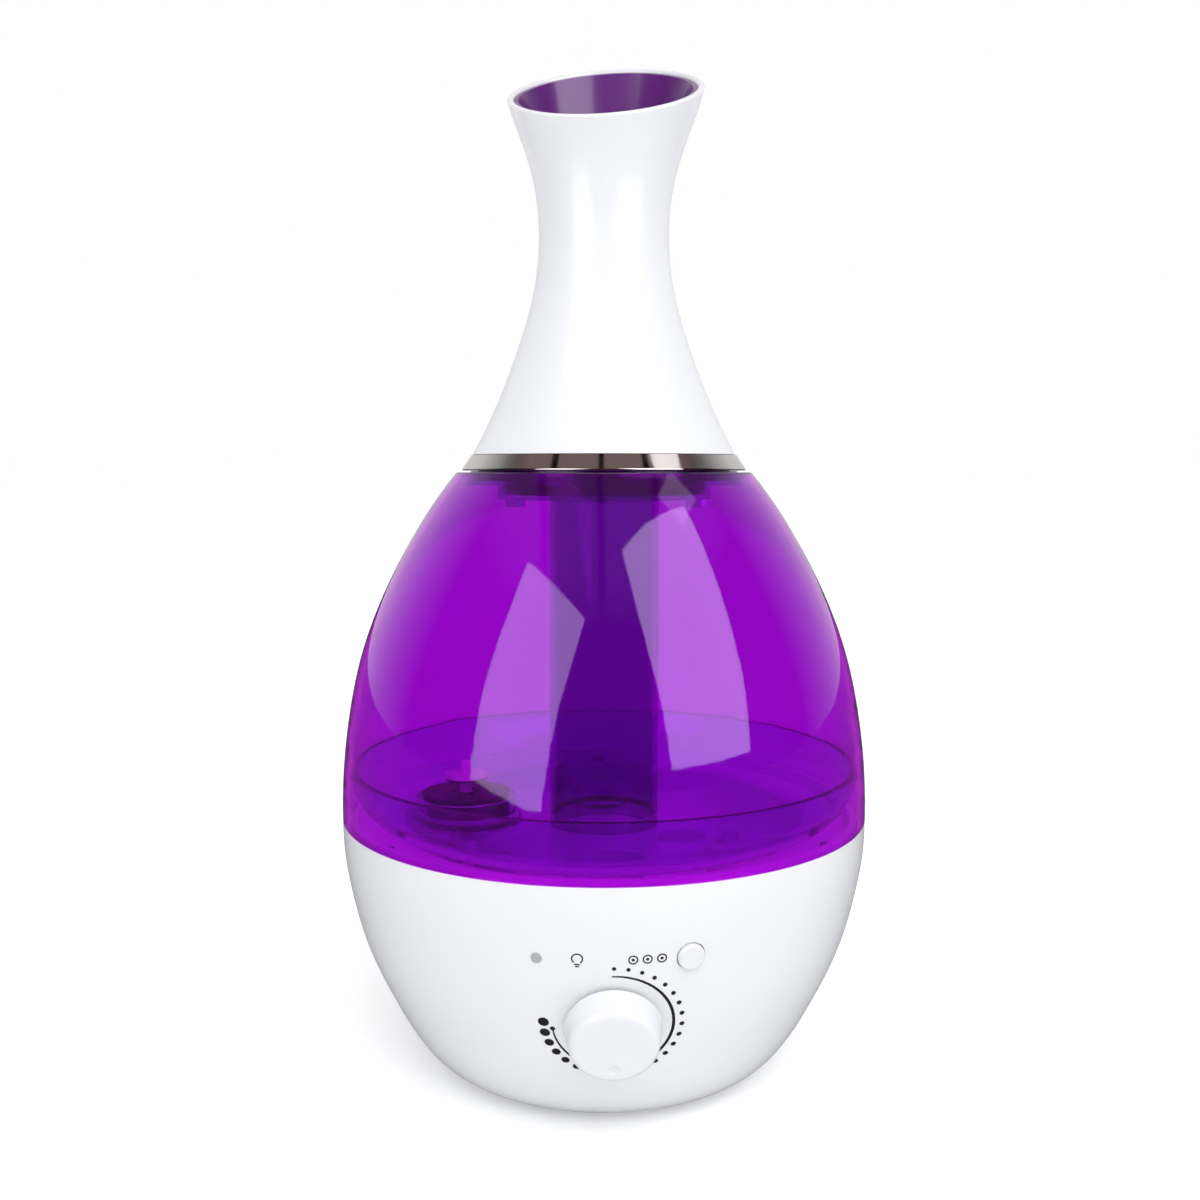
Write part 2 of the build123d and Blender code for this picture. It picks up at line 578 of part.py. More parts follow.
# ---------------------------------------------------------------------------------------------
# Basin, which holds a little water under the tank
# ---------------------------------------------------------------------------------------------
BASIN_UNDER = BASIN_FLOOR - WALL
PLATE_EAR_CIRCLE = 18.6     # ears and screws of the plate under the mist transducer
PLATE_SCREW_CIRCLE = 19.6
window_place = (WINDOW_XY, WINDOW_XY)
float_place = (FLOAT_X, FLOAT_Y)
with BuildPart() as basin:
    revolve(outline_section(
        (WELL_RADIUS, WELL_FLOOR), (WELL_RADIUS, BASIN_FLOOR), (BASIN_RADIUS, BASIN_FLOOR),
        (BASIN_RADIUS, BASIN_FLANGE), (89.8, BASIN_FLANGE), (89.8, REGISTER_TOP),
        (REGISTER_RADIUS, REGISTER_TOP), (REGISTER_RADIUS, BASIN_FLANGE - WALL),
        (BASIN_RADIUS + WALL, BASIN_FLANGE - WALL),
        (BASIN_RADIUS + WALL, BASIN_UNDER), (WELL_RADIUS + WALL, BASIN_UNDER),
        (WELL_RADIUS + WALL, WELL_FLOOR - WALL), (8.6, WELL_FLOOR - WALL), (8.6, WELL_FLOOR)),
        axis=Axis.Z)
    fillet(basin.edges().filter_by(GeomType.CIRCLE).filter_by(
        lambda edge: abs(edge.radius - BASIN_RADIUS) < 0.1 and edge.center().Z < BASIN_FLOOR + 1),
        radius=4.0)
    # chimney, valve pin, float post and the bosses for the transducer plate
    add(post(FLOOR, BASIN_UNDER, CHIMNEY_TOP, CHIMNEY_RADIUS + 2.0, (0, CHIMNEY_Y)))
    add(post(FLOOR, BASIN_UNDER, CHIMNEY_TOP + 1, CHIMNEY_RADIUS, (0, CHIMNEY_Y)),
        mode=Mode.SUBTRACT)
    add(post(FLOOR, BASIN_FLOOR, STEM_BOTTOM - 0.1, 2.4, (CAP_X, 0)))
    add(post(FLOOR, BASIN_FLOOR, 85.0, POST_RADIUS, float_place))
    add(post(FLOOR, BASIN_UNDER - 1, 83.0, 1.7, float_place), mode=Mode.SUBTRACT)
    add(post(FLOOR, BASIN_UNDER - 1, BASIN_FLOOR + 1, 8.0, window_place), mode=Mode.SUBTRACT)
    with BuildSketch(FLOOR.offset(WELL_FLOOR - WALL)) as plate_bosses:
        with PolarLocations(PLATE_EAR_CIRCLE, 3, start_angle=30):
            Circle(3.2)
    extrude(amount=10.0)
    with BuildSketch(FLOOR.offset(WELL_FLOOR - WALL)) as plate_screw_holes:
        with PolarLocations(PLATE_SCREW_CIRCLE, 3, start_angle=30):
            Circle(1.3)
    extrude(amount=7.0, mode=Mode.SUBTRACT)
    with BuildSketch(FLOOR.offset(BASIN_FLANGE)) as flange_holes:
        with PolarLocations(BASIN_SCREW_CIRCLE, 3, start_angle=90):
            Circle(1.5)
    extrude(amount=-WALL, mode=Mode.SUBTRACT)
save(basin, "basin")

with BuildPart() as basin_seal:
    revolve(washer(89.8, REGISTER_RADIUS, LEDGE_TOP, BASIN_FLANGE - WALL), axis=Axis.Z)
save(basin_seal, "basin_seal")

with BuildPart() as basin_screws:
    with BuildSketch(FLOOR.offset(BASIN_FLANGE)) as basin_heads:
        with PolarLocations(BASIN_SCREW_CIRCLE, 3, start_angle=90):
            Circle(2.6)
    extrude(amount=1.6)
    with BuildSketch(FLOOR.offset(BASIN_FLANGE)) as basin_shanks:
        with PolarLocations(BASIN_SCREW_CIRCLE, 3, start_angle=90):
            Circle(1.3)
    extrude(amount=-12.0)
save(basin_screws, "basin_screws")

# Splash hood over the chimney, on three legs that clip inside it
with BuildPart() as chimney_cap:
    with BuildSketch(FLOOR.offset(CHIMNEY_TOP + 2)) as hood:
        with Locations((0, CHIMNEY_Y)):
            Circle(CHIMNEY_RADIUS + 3.5)
    extrude(amount=1.6)
    with BuildSketch(FLOOR.offset(CHIMNEY_TOP + 2)) as hood_legs:
        with Locations((0, CHIMNEY_Y)):
            with PolarLocations(CHIMNEY_RADIUS - 1.2, 3, start_angle=90):
                Rectangle(1.6, 4.0)
    extrude(amount=-9.0)
save(chimney_cap, "chimney_cap")

with BuildPart() as light_window:
    add(post(FLOOR, BASIN_UNDER, BASIN_FLOOR + 0.5, 7.95, window_place))
    add(post(FLOOR, BASIN_FLOOR, BASIN_FLOOR + 1.4, 10.0, window_place))
    fillet(light_window.edges().group_by(Axis.Z)[-1], radius=1.0)
save(light_window, "light_window")

# ---------------------------------------------------------------------------------------------
# Mist transducer under the well
# ---------------------------------------------------------------------------------------------
SEAL_TOP = WELL_FLOOR - WALL
DISC_RADIUS = 10.0
with BuildPart() as transducer_seal:
    revolve(outline_section((8.4, SEAL_TOP - 2.4), (12.6, SEAL_TOP - 2.4), (12.6, SEAL_TOP),
                            (8.4, SEAL_TOP), (8.4, SEAL_TOP - 0.6),
                            (DISC_RADIUS + FIT, SEAL_TOP - 0.6),
                            (DISC_RADIUS + FIT, SEAL_TOP - 1.8), (8.4, SEAL_TOP - 1.8)),
            axis=Axis.Z)
save(transducer_seal, "transducer_seal")

with BuildPart() as transducer_disc:
    revolve(disc(DISC_RADIUS, SEAL_TOP - 1.8, SEAL_TOP - 0.6), axis=Axis.Z)
save(transducer_disc, "transducer_disc")

PLATE_TOP = SEAL_TOP - 2.4
with BuildPart() as transducer_plate:
    with BuildSketch(FLOOR.offset(PLATE_TOP)) as plate_outline:
        Circle(16.0)
        with PolarLocations(PLATE_EAR_CIRCLE, 3, start_angle=30):
            Circle(3.6)
        with PolarLocations(PLATE_SCREW_CIRCLE, 3, start_angle=30):
            Circle(1.4, mode=Mode.SUBTRACT)
        Circle(7.0, mode=Mode.SUBTRACT)
    extrude(amount=-1.6)
save(transducer_plate, "transducer_plate")

with BuildPart() as transducer_screws:
    with BuildSketch(FLOOR.offset(PLATE_TOP - 1.6)) as plate_heads:
        with PolarLocations(PLATE_SCREW_CIRCLE, 3, start_angle=30):
            Circle(2.4)
    extrude(amount=-1.4)
    with BuildSketch(FLOOR.offset(PLATE_TOP - 1.6)) as plate_shanks:
        with PolarLocations(PLATE_SCREW_CIRCLE, 3, start_angle=30):
            Circle(1.2)
    extrude(amount=9.0)
save(transducer_screws, "transducer_screws")

# ---------------------------------------------------------------------------------------------
# Water level float
# ---------------------------------------------------------------------------------------------
FLOAT_BOTTOM = 66.2
FLOAT_HEIGHT = 11.0
FLOAT_TRAVEL = 6.0
MAGNET_TOP = FLOAT_BOTTOM + 3.0
with BuildPart() as float_ring:
    add(post(FLOOR, FLOAT_BOTTOM, FLOAT_BOTTOM + FLOAT_HEIGHT, 9.0, float_place))
    fillet(float_ring.edges(), radius=1.2)
    add(post(FLOOR, FLOAT_BOTTOM, FLOAT_BOTTOM + FLOAT_HEIGHT, POST_RADIUS + RUB, float_place),
        mode=Mode.SUBTRACT)
    with BuildSketch(FLOOR.offset(FLOAT_BOTTOM)) as magnet_pocket:
        with Locations(float_place):
            Circle(6.8)
            Circle(4.4, mode=Mode.SUBTRACT)
    extrude(amount=MAGNET_TOP - FLOAT_BOTTOM, mode=Mode.SUBTRACT)
save(float_ring, "float_ring")

with BuildPart() as float_magnet:
    with BuildSketch(FLOOR.offset(FLOAT_BOTTOM + 0.2)) as magnet_outline:
        with Locations(float_place):
            Circle(6.8 - FIT)
            Circle(4.4 + FIT, mode=Mode.SUBTRACT)
    extrude(amount=MAGNET_TOP - FLOAT_BOTTOM - 0.2)
save(float_magnet, "float_magnet")

RETAINER_BOTTOM = FLOAT_BOTTOM + FLOAT_HEIGHT + FLOAT_TRAVEL + 0.2
with BuildPart() as float_retainer:
    with BuildSketch(FLOOR.offset(RETAINER_BOTTOM)) as retainer_outline:
        with Locations(float_place):
            Circle(6.0)
            Circle(POST_RADIUS + FIT, mode=Mode.SUBTRACT)
    extrude(amount=1.4)
save(float_retainer, "float_retainer")

with BuildPart() as reed_switch:
    add(post(FLOOR, BASIN_UNDER + 3, BASIN_UNDER + 17, 1.4, float_place))
    fillet(reed_switch.edges(), radius=1.0)
save(reed_switch, "reed_switch")

# ---------------------------------------------------------------------------------------------
# Lights under the window
# ---------------------------------------------------------------------------------------------
LED_BOARD_TOP = 58.4
with BuildPart() as led_board:
    add(post(FLOOR, LED_BOARD_TOP - BOARD_THICKNESS, LED_BOARD_TOP, 9.0, window_place))
save(led_board, "led_board")

with BuildPart() as color_leds:
    with BuildSketch(FLOOR.offset(LED_BOARD_TOP)) as led_outline:
        with Locations(window_place):
            with PolarLocations(4.4, 3):
                Circle(2.4)
    extrude(amount=4.0)
    fillet(color_leds.edges().group_by(Axis.Z)[-1], radius=2.0)
save(color_leds, "color_leds")

# ---------------------------------------------------------------------------------------------
# Main board
# ---------------------------------------------------------------------------------------------
with BuildPart() as main_board:
    with BuildSketch(FLOOR.offset(BOARD_HEIGHT)) as board_outline:
        with Locations((0, BOARD_Y)):
            RectangleRounded(70.0, 40.0, 1.5)
    extrude(amount=BOARD_THICKNESS)
save(main_board, "main_board")

PARTS_LEVEL = BOARD_HEIGHT + BOARD_THICKNESS
TRANSFORMER_X = -17.0
CAPACITOR_X = 6.0
with BuildPart() as transformer:
    with BuildSketch(FLOOR.offset(PARTS_LEVEL)) as core_outline:
        with Locations((TRANSFORMER_X, BOARD_Y)):
            Rectangle(30.0, 14.0)
    extrude(amount=24.0)
    with BuildSketch(FLOOR.offset(PARTS_LEVEL + 4)) as winding_outline:
        with Locations((TRANSFORMER_X, BOARD_Y)):
            RectangleRounded(20.0, 25.0, 4.0)
    extrude(amount=16.0)
save(transformer, "transformer")

with BuildPart() as capacitors:
    with BuildSketch(FLOOR.offset(PARTS_LEVEL)) as capacitor_outline:
        with Locations((CAPACITOR_X, BOARD_Y)):
            with GridLocations(0, 12.0, 1, 3):
                Circle(4.5)
    extrude(amount=15.0)
    fillet(capacitors.edges().group_by(Axis.Z)[-1], radius=0.8)
save(capacitors, "capacitors")

FIN_COUNT = 5
FIN_LENGTH = 30.0
with BuildPart() as heatsink:
    with BuildSketch(FLOOR.offset(PARTS_LEVEL)) as fins:
        with Locations((17.5, BOARD_Y)):
            Rectangle(2.4, FIN_LENGTH)
        with Locations((21.0, BOARD_Y)):
            with GridLocations(0, FIN_LENGTH / FIN_COUNT, 1, FIN_COUNT):
                Rectangle(7.0, 1.4)
    extrude(amount=22.0)
save(heatsink, "heatsink")

with BuildPart() as power_transistor:
    with BuildSketch(FLOOR.offset(PARTS_LEVEL + 4)) as transistor_outline:
        with Locations((14.0, BOARD_Y)):
            Rectangle(4.5, 10.0)
    extrude(amount=15.0)
save(power_transistor, "power_transistor")

# ---------------------------------------------------------------------------------------------
# Front controls
# ---------------------------------------------------------------------------------------------
DIAL_BOARD_TOP = -12.2
with BuildPart() as potentiometer:
    add(post(dial, -12.0, -4.0, 8.0, AXIS))
    add(post(dial, -4.5, 2.6, 3.5, AXIS))
    add(post(dial, -4.0, 3.0, POT_SHAFT_RADIUS + FIT, AXIS), mode=Mode.SUBTRACT)
save(potentiometer, "potentiometer")

with BuildPart() as pot_nut:
    with BuildSketch(dial.offset(0.1)) as nut_outline:
        RegularPolygon(5.6, 6)
        Circle(3.5 + FIT, mode=Mode.SUBTRACT)
    extrude(amount=2.2)
save(pot_nut, "pot_nut")

with BuildPart() as pot_shaft:
    add(post(dial, -3.9, 6.4, POT_SHAFT_RADIUS, AXIS))
save(pot_shaft, "pot_shaft")

with BuildPart() as dial_board:
    with BuildSketch(dial.offset(DIAL_BOARD_TOP)) as dial_board_outline:
        RectangleRounded(26.0, 22.0, 1.0)
    extrude(amount=-BOARD_THICKNESS)
save(dial_board, "dial_board")

KNOB_GAP = 0.5
KNOB_FACE_RADIUS = 13.8
with BuildPart() as knob:
    with BuildSketch(dial.offset(KNOB_GAP)) as knob_foot:
        Circle(KNOB_RADIUS)
    with BuildSketch(dial.offset(KNOB_GAP + KNOB_DEPTH)) as knob_face:
        Circle(KNOB_FACE_RADIUS)
    loft()
    face_edge = knob.edges().filter_by(GeomType.CIRCLE).sort_by(SortBy.RADIUS)[0]
    fillet(face_edge, radius=2.6)
    # room for the nut, bore on the shaft, and the pointer's round dimple
    add(post(dial, 0, 3.4, 7.5, AXIS), mode=Mode.SUBTRACT)
    add(post(dial, 0, 6.4 + FIT, POT_SHAFT_RADIUS + 0.02, AXIS), mode=Mode.SUBTRACT)
    with Locations(dial.offset(KNOB_GAP + KNOB_DEPTH + 3.4).location):
        with Locations((0, -8.6)):
            Sphere(4.0, mode=Mode.SUBTRACT)
save(knob, "knob")

with BuildPart() as light_button:
    add(post(button_spot, -3.6, 1.5, BUTTON_RADIUS, AXIS))
    button_top = light_button.edges().filter_by(GeomType.CIRCLE).sort_by(
        lambda edge: -button_spot.to_local_coords(edge.center()).Z)[0]
    fillet(button_top, radius=0.9)
    add(post(button_spot, -4.4, -3.2, BUTTON_RADIUS + 1.2, AXIS))
    add(post(button_spot, -5.4, -4.4, 1.2, AXIS))
save(light_button, "light_button")

SWITCH_TOP = -5.5 - BUTTON_TRAVEL
with BuildPart() as tact_switch:
    with BuildSketch(button_spot.offset(SWITCH_TOP)) as switch_outline:
        RectangleRounded(6.0, 6.0, 0.6)
    extrude(amount=-2.2)
save(tact_switch, "tact_switch")

with BuildPart() as button_board:
    with BuildSketch(button_spot.offset(SWITCH_TOP - 2.2)) as button_board_outline:
        RectangleRounded(10.0, 9.0, 0.8)
    extrude(amount=-1.2)
save(button_board, "button_board")

with BuildPart() as indicator_lens:
    add(post(lens_spot, -3.4, 0.25, LENS_RADIUS, AXIS))
save(indicator_lens, "indicator_lens")

with BuildPart() as indicator_led:
    add(post(lens_spot, -7.5, -3.6, 1.5, AXIS))
    add(post(lens_spot, -7.5, -6.6, 1.9, AXIS))
save(indicator_led, "indicator_led")

with BuildPart() as indicator_board:
    with BuildSketch(lens_spot.offset(-7.5)) as indicator_board_outline:
        RectangleRounded(10.0, 9.0, 0.8)
    extrude(amount=-1.2)
save(indicator_board, "indicator_board")

# ---------------------------------------------------------------------------------------------
# Power inlet at the back
# ---------------------------------------------------------------------------------------------
INLET_RECESS = 9.5
inlet_plane = Plane(origin=(0, INLET_FACE, INLET_HEIGHT), x_dir=(-1, 0, 0), z_dir=(0, 1, 0))
with BuildPart() as power_inlet:
    with BuildSketch(inlet_plane.offset(-0.2)) as inlet_body:
        RectangleRounded(22.0, 12.0, 3.0)
    extrude(amount=-14.0)
    with BuildSketch(inlet_plane.offset(-0.2)) as inlet_recess:
        SlotOverall(16.6, 8.6)
    extrude(amount=-INLET_RECESS, mode=Mode.SUBTRACT)
save(power_inlet, "power_inlet")

with BuildPart() as inlet_pins:
    with BuildSketch(inlet_plane.offset(-0.2 - INLET_RECESS)) as pin_outline:
        with GridLocations(8.6, 0, 2, 1):
            Circle(1.15)
    extrude(amount=INLET_RECESS - 1.2)
    fillet(inlet_pins.edges().group_by(Axis.Y)[-1], radius=0.6)
save(inlet_pins, "inlet_pins")
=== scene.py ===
import json
import math

import bmesh
import bpy
from mathutils import Matrix, Vector
from mathutils.bvhtree import BVHTree


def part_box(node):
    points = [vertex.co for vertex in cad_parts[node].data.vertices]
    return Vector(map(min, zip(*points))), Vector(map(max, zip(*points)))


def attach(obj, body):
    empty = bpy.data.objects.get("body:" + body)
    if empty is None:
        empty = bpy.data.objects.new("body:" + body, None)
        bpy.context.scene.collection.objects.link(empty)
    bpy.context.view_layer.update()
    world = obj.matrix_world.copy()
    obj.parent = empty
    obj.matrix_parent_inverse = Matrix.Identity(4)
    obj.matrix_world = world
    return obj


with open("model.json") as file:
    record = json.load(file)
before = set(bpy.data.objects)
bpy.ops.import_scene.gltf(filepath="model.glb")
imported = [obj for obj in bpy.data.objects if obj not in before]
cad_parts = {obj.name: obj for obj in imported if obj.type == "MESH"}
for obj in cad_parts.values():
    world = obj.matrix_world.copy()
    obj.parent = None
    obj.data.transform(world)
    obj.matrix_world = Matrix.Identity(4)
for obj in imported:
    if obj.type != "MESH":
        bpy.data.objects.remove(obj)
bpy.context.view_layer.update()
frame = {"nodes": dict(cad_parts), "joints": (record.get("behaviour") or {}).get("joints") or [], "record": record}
scene = bpy.context.scene
scene.view_settings.view_transform = "Standard"

MM = 0.001
EVEN = (1, 1, 1)            # a texture that isn't stretched


# ------------------------------------------------------------------------------------------
# Materials
# ------------------------------------------------------------------------------------------
# Grain sizes and depths of the surfaces, and how many grains a cloud of colour or of gloss spans
GLOSS_GRAIN, GLOSS_DEPTH = 5 * MM, 0.004 * MM
MATTE_GRAIN, MATTE_DEPTH = 0.35 * MM, 0.02 * MM
METAL_GRAIN, METAL_DEPTH = 0.3 * MM, 0.002 * MM
COLOR_CLOUD = 60
GLOSS_CLOUD = 14
COAT_ROUGHNESS = 0.06
# Moulded clear plastic: index, clouds of colour and gloss, waviness, and the tint's deeper shade
CLEAR_INDEX = 1.49
CLEAR_COLOR_CLOUD = 40 * MM
CLEAR_GLOSS_CLOUD = 9 * MM
CLEAR_WAVE, CLEAR_WAVE_DEPTH = 16 * MM, 0.012 * MM
CLEAR_DEEPER = 0.94
FOAM_CELL, FOAM_DEPTH = 0.9 * MM, 0.3 * MM
TRACK_PITCH, TRACK_WIDTH, TRACK_DEPTH = 9 * MM, 0.03, 0.03 * MM
MASK_CLOUD = 3 * MM


def new_material(name):
    """An empty node material: (material, nodes, link function, output node, object coordinates)."""
    material = bpy.data.materials.new(name)
    material.use_nodes = True
    tree = material.node_tree
    tree.nodes.clear()
    output = tree.nodes.new("ShaderNodeOutputMaterial")
    place = tree.nodes.new("ShaderNodeTexCoord").outputs["Object"]
    return material, tree.nodes, tree.links.new, output, place


def noise(nodes, link, place, size, detail=3.0, stretch=EVEN):
    """Noise whose blobs are about size metres across; stretch above 1 squeezes it along an axis."""
    scaled = nodes.new("ShaderNodeVectorMath")
    scaled.operation = "MULTIPLY"
    scaled.inputs[1].default_value = stretch
    link(place, scaled.inputs[0])
    texture = nodes.new("ShaderNodeTexNoise")
    texture.inputs["Scale"].default_value = 1.0 / size
    texture.inputs["Detail"].default_value = detail
    link(scaled.outputs[0], texture.inputs["Vector"])
    return texture.outputs["Fac"]


def spread(nodes, link, value, low, high):
    """A 0 to 1 value moved to the range low to high."""
    remap = nodes.new("ShaderNodeMapRange")
    remap.interpolation_type = "SMOOTHSTEP"
    remap.inputs["From Min"].default_value = 0.25
    remap.inputs["From Max"].default_value = 0.75
    remap.inputs["To Min"].default_value = low
    remap.inputs["To Max"].default_value = high
    link(value, remap.inputs["Value"])
    return remap.outputs["Result"]


def two_colors(nodes, link, factor, first, second):
    """The first colour at a factor of 0, the second at 1."""
    mix = nodes.new("ShaderNodeMix")
    mix.data_type = "RGBA"
    link(factor, mix.inputs["Factor"])
    mix.inputs["A"].default_value = (*first, 1)
    mix.inputs["B"].default_value = (*second, 1)
    return mix.outputs["Result"]


def bump(nodes, link, height, depth):
    """A bump whose height of 1 stands depth metres out."""
    node = nodes.new("ShaderNodeBump")
    node.inputs["Strength"].default_value = 1.0
    node.inputs["Distance"].default_value = depth
    link(height, node.inputs["Height"])
    return node.outputs["Normal"]


def surface(name, color, shade, rough, grain, depth, metallic=0.0, coat=0.0, stretch=EVEN):
    """Opaque surface: colour between color and shade, roughness between the two of rough, and a grain."""
    material, nodes, link, output, place = new_material(name)
    shader = nodes.new("ShaderNodeBsdfPrincipled")
    clouds = noise(nodes, link, place, COLOR_CLOUD * grain, 4.0)
    fine = noise(nodes, link, place, grain, 2.0, stretch)
    link(two_colors(nodes, link, clouds, color, shade), shader.inputs["Base Color"])
    patches = noise(nodes, link, place, GLOSS_CLOUD * grain, 4.0, stretch)
    link(spread(nodes, link, patches, *rough), shader.inputs["Roughness"])
    link(bump(nodes, link, fine, depth), shader.inputs["Normal"])
    shader.inputs["Metallic"].default_value = metallic
    shader.inputs["Coat Weight"].default_value = coat
    shader.inputs["Coat Roughness"].default_value = COAT_ROUGHNESS
    link(shader.outputs[0], output.inputs["Surface"])
    return material


def gloss_plastic(name, color, shade, rough=(0.24, 0.27), coat=0.15):
    return surface(name, color, shade, rough, GLOSS_GRAIN, GLOSS_DEPTH, coat=coat)


def matte_plastic(name, color, shade, rough=(0.42, 0.58)):
    return surface(name, color, shade, rough, MATTE_GRAIN, MATTE_DEPTH)


def metal(name, color, shade, rough, stretch=EVEN):
    return surface(name, color, shade, rough, METAL_GRAIN, METAL_DEPTH, metallic=1.0, stretch=stretch)


def clear_plastic(name, tint, shadow, rough=(0.02, 0.05)):
    """Tinted see-through plastic. Lamps shine through it with the shadow colour."""
    material, nodes, link, output, place = new_material(name)
    shader = nodes.new("ShaderNodeBsdfPrincipled")
    shader.inputs["Transmission Weight"].default_value = 1.0
    shader.inputs["IOR"].default_value = CLEAR_INDEX
    clouds = noise(nodes, link, place, CLEAR_COLOR_CLOUD, 3.0)
    deeper = tuple(CLEAR_DEEPER * channel for channel in tint)
    link(two_colors(nodes, link, clouds, tint, deeper), shader.inputs["Base Color"])
    patches = noise(nodes, link, place, CLEAR_GLOSS_CLOUD, 4.0)
    link(spread(nodes, link, patches, *rough), shader.inputs["Roughness"])
    waves = noise(nodes, link, place, CLEAR_WAVE, 1.0)
    link(bump(nodes, link, waves, CLEAR_WAVE_DEPTH), shader.inputs["Normal"])
    lamps = nodes.new("ShaderNodeBsdfTransparent")
    lamps.inputs["Color"].default_value = (*shadow, 1)
    path = nodes.new("ShaderNodeLightPath")
    mix = nodes.new("ShaderNodeMixShader")
    link(path.outputs["Is Shadow Ray"], mix.inputs[0])
    link(shader.outputs[0], mix.inputs[1])
    link(lamps.outputs[0], mix.inputs[2])
    link(mix.outputs[0], output.inputs["Surface"])
    return material


def foam(name, color, shade):
    """Open foam: deep round cells, with painted shade that darkens the hollow of each cell."""
    material, nodes, link, output, place = new_material(name)
    shader = nodes.new("ShaderNodeBsdfPrincipled")
    cells = nodes.new("ShaderNodeTexVoronoi")
    cells.inputs["Scale"].default_value = 1 / FOAM_CELL
    link(place, cells.inputs["Vector"])
    # Painted shade: the colour runs from shade in each cell's hollow to color at its rim, where the bump lifts it.
    link(two_colors(nodes, link, cells.outputs["Distance"], shade, color), shader.inputs["Base Color"])
    link(bump(nodes, link, cells.outputs["Distance"], FOAM_DEPTH), shader.inputs["Normal"])
    link(spread(nodes, link, cells.outputs["Distance"], 0.8, 0.95), shader.inputs["Roughness"])
    link(shader.outputs[0], output.inputs["Surface"])
    return material


def circuit(name):
    """Solder mask with a faint grid of tracks."""
    material, nodes, link, output, place = new_material(name)
    shader = nodes.new("ShaderNodeBsdfPrincipled")
    tracks = nodes.new("ShaderNodeTexBrick")
    tracks.inputs["Scale"].default_value = 1 / TRACK_PITCH
    tracks.inputs["Mortar Size"].default_value = TRACK_WIDTH
    tracks.inputs["Color1"].default_value = (0.012, 0.11, 0.045, 1)
    tracks.inputs["Color2"].default_value = (0.014, 0.13, 0.05, 1)
    tracks.inputs["Mortar"].default_value = (0.03, 0.2, 0.08, 1)
    link(place, tracks.inputs["Vector"])
    link(tracks.outputs["Color"], shader.inputs["Base Color"])
    link(bump(nodes, link, tracks.outputs["Fac"], TRACK_DEPTH), shader.inputs["Normal"])
    patches = noise(nodes, link, place, MASK_CLOUD)
    link(spread(nodes, link, patches, 0.28, 0.4), shader.inputs["Roughness"])
    link(shader.outputs[0], output.inputs["Surface"])
    return material


